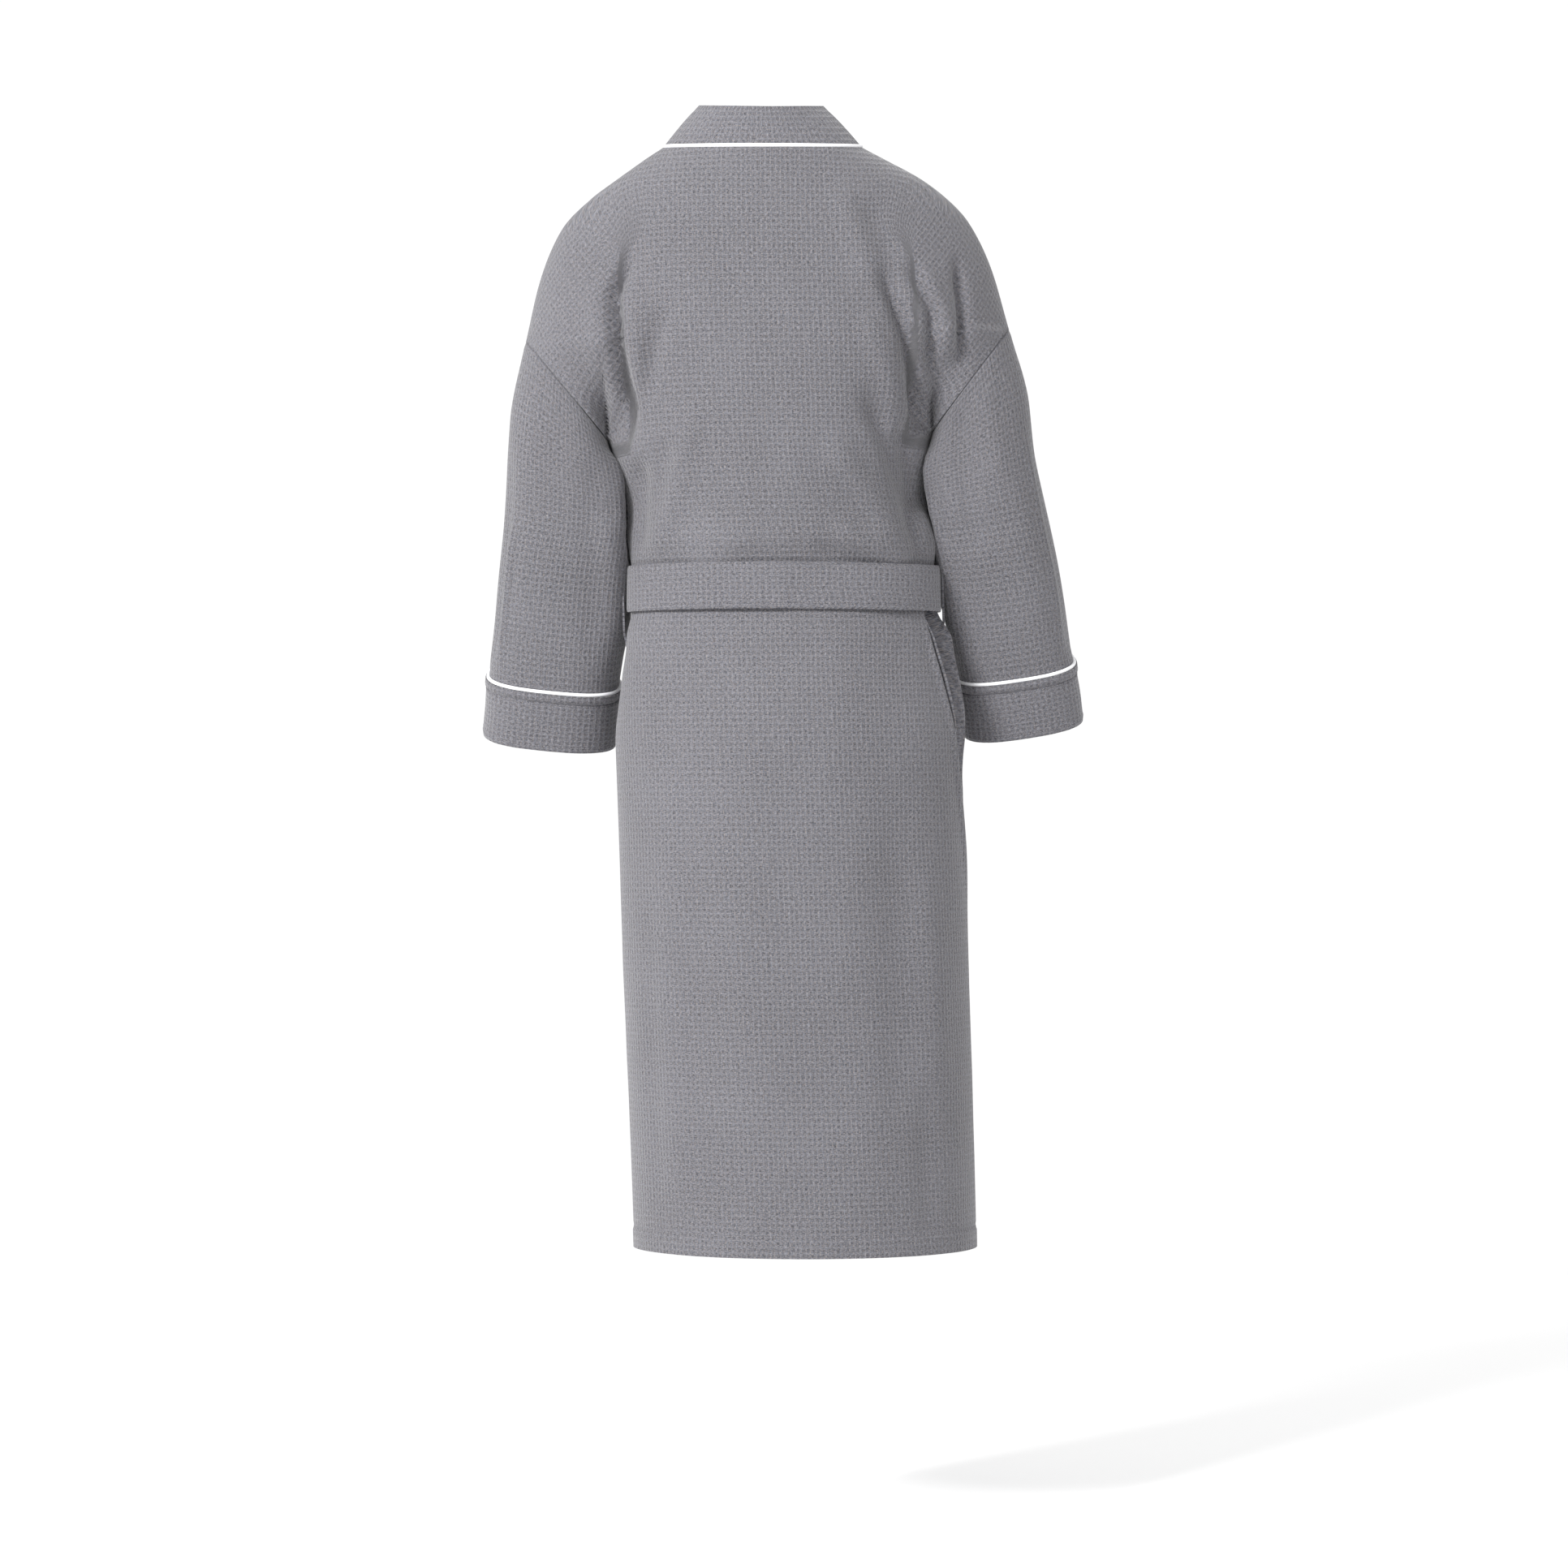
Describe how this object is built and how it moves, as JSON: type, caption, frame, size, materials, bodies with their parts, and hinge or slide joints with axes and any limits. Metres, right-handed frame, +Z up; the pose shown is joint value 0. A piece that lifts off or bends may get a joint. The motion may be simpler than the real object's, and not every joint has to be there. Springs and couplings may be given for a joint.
{
  "type": "bathrobe",
  "caption": "Kimono-style waffle cloth bathrobe with contrast piping, dropped sleeves with cuffs, patch pockets and a tied belt.",
  "frame": {"origin": "middle of the line between the two neck points of the shoulders, where the wearer's shoulders carry the robe", "axes": "+Z up, -Y the robe's front, +X the wearer's left"},
  "size_m": [0.6846, 0.3128, 1.2914],
  "materials": {
    "grey_waffle": "matt melange grey waffle weave",
    "white_piping": "smooth white bias piping",
    "blank_label": "plain woven label"
  },
  "bodies": {
    "root": {"back_panel": "grey_waffle", "belt_knot": "grey_waffle", "belt_wrap": "grey_waffle", "care_label": "blank_label", "collar_band": "grey_waffle", "collar_piping": "white_piping", "left_belt_loop": "grey_waffle", "left_front_panel": "grey_waffle", "left_pocket": "grey_waffle", "left_pocket_piping": "white_piping", "neck_label": "blank_label", "right_belt_loop": "grey_waffle", "right_front_panel": "grey_waffle", "right_pocket": "grey_waffle", "right_pocket_piping": "white_piping"},
    "left_sleeve_body": {"left_sleeve": "grey_waffle", "left_cuff": "grey_waffle", "left_cuff_piping": "white_piping"},
    "right_sleeve_body": {"right_sleeve": "grey_waffle", "right_cuff": "grey_waffle", "right_cuff_piping": "white_piping"},
    "front_corner": {"left_front_corner": "grey_waffle", "left_front_band": "grey_waffle", "left_front_piping": "white_piping"},
    "tail_left": {"belt_tail_left": "grey_waffle"},
    "tail_right": {"belt_tail_right": "grey_waffle"},
    "hanger": {"hanger_loop": "grey_waffle"}
  },
  "joints": [
    {"name": "left_sleeve_lift", "type": "hinge", "parent": "root", "child": "left_sleeve_body", "pos_m": [0.225, 0, -0.11], "axis": [0, -1, 0], "range_deg": [0, 40]},
    {"name": "right_sleeve_lift", "type": "hinge", "parent": "root", "child": "right_sleeve_body", "pos_m": [-0.225, 0, -0.11], "axis": [0, 1, 0], "range_deg": [0, 40]},
    {"name": "front_corner_fold", "type": "hinge", "parent": "root", "child": "front_corner", "pos_m": [-0.121, -0.112, -0.527], "axis": [-0.2166, 0.0894, 0.9722], "range_deg": [0, 85]},
    {"name": "tail_left_swing", "type": "hinge", "parent": "root", "child": "tail_left", "pos_m": [0.045, -0.1265, -0.5295], "axis": [-1, 0, 0], "range_deg": [0, 75]},
    {"name": "tail_right_swing", "type": "hinge", "parent": "root", "child": "tail_right", "pos_m": [-0.013, -0.1265, -0.5295], "axis": [-1, 0, 0], "range_deg": [0, 75]},
    {"name": "hanger_flip", "type": "hinge", "parent": "root", "child": "hanger", "pos_m": [0, 0.0715, -0.014], "axis": [-1, 0, 0], "range_deg": [0, 150]}
  ]
}
